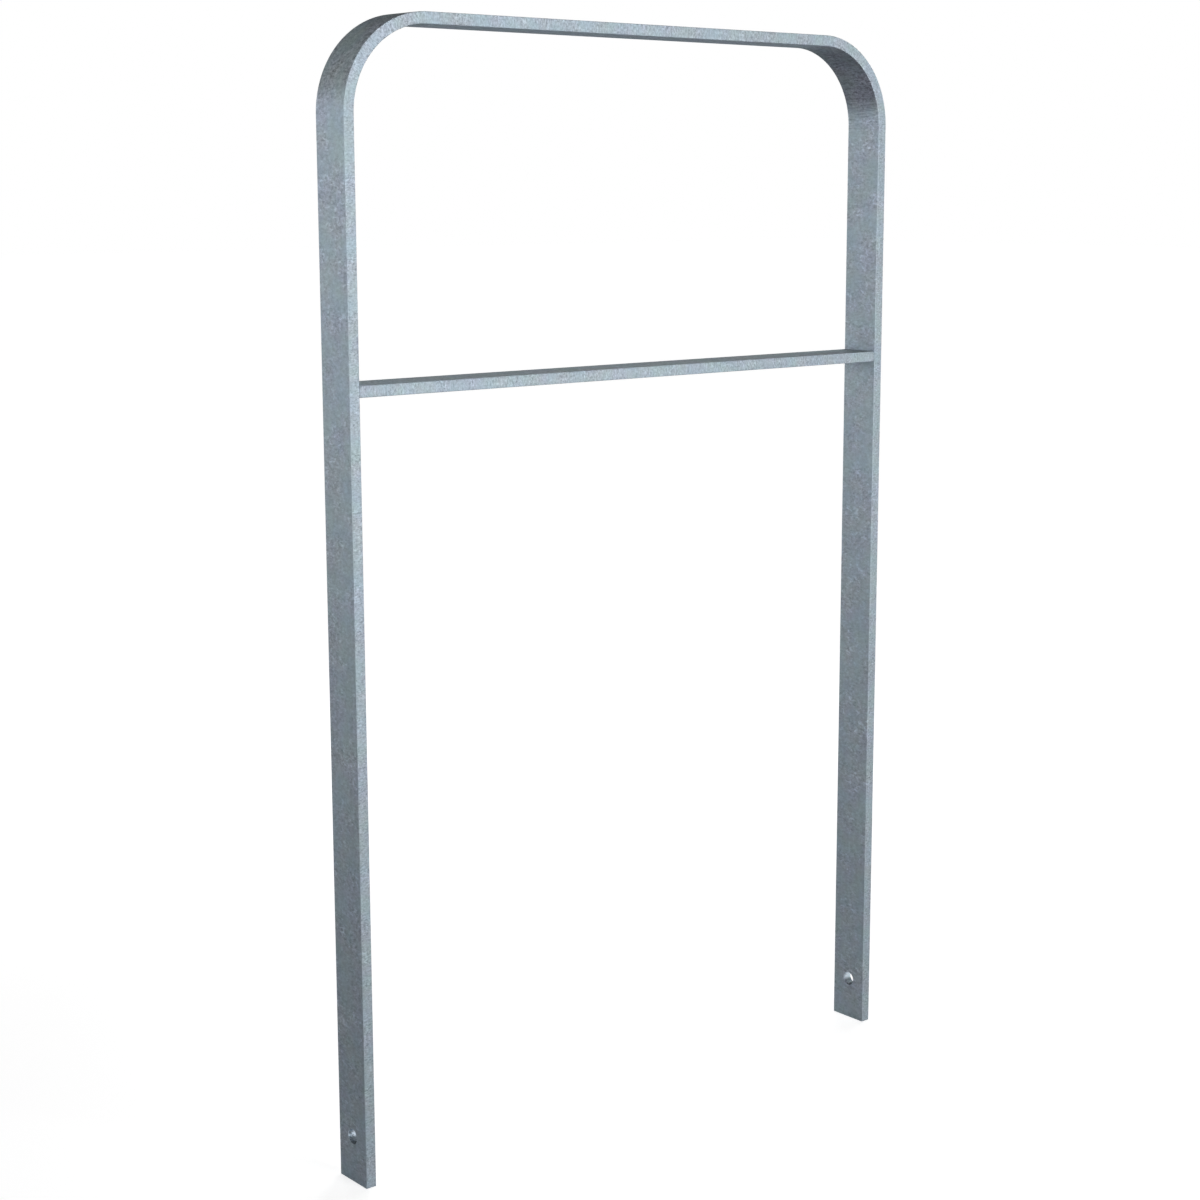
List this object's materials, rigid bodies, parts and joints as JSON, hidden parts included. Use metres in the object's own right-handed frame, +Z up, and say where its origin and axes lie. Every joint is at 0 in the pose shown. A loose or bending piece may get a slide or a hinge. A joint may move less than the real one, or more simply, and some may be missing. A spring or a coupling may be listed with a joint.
{
  "type": "hoop bike rack",
  "caption": "Upright hoop of galvanised flat steel bar that a bicycle leans on and is locked to, with a straight cross bar welded between its legs and an anchor hole near each foot.",
  "frame": {"origin": "midway between the legs and midway through the bar's width, at the level of the feet", "axes": "+X runs across the hoop from the left leg to the right leg, +Z up along the legs, -Y is the front"},
  "size_m": [0.75, 0.05, 1.2],
  "materials": {
    "galvanised_steel": "hot-dip galvanised flat steel bar: dull blue-grey zinc with a fine spangle and soft cloudy mottling",
    "galvanised_weld": "weld metal dressed flush and galvanised over with the bars"
  },
  "bodies": {
    "root": {"hoop_bar": "galvanised_steel", "cross_bar": "galvanised_steel", "weld_upper_left": "galvanised_weld", "weld_lower_left": "galvanised_weld", "weld_upper_right": "galvanised_weld", "weld_lower_right": "galvanised_weld"}
  },
  "joints": []
}
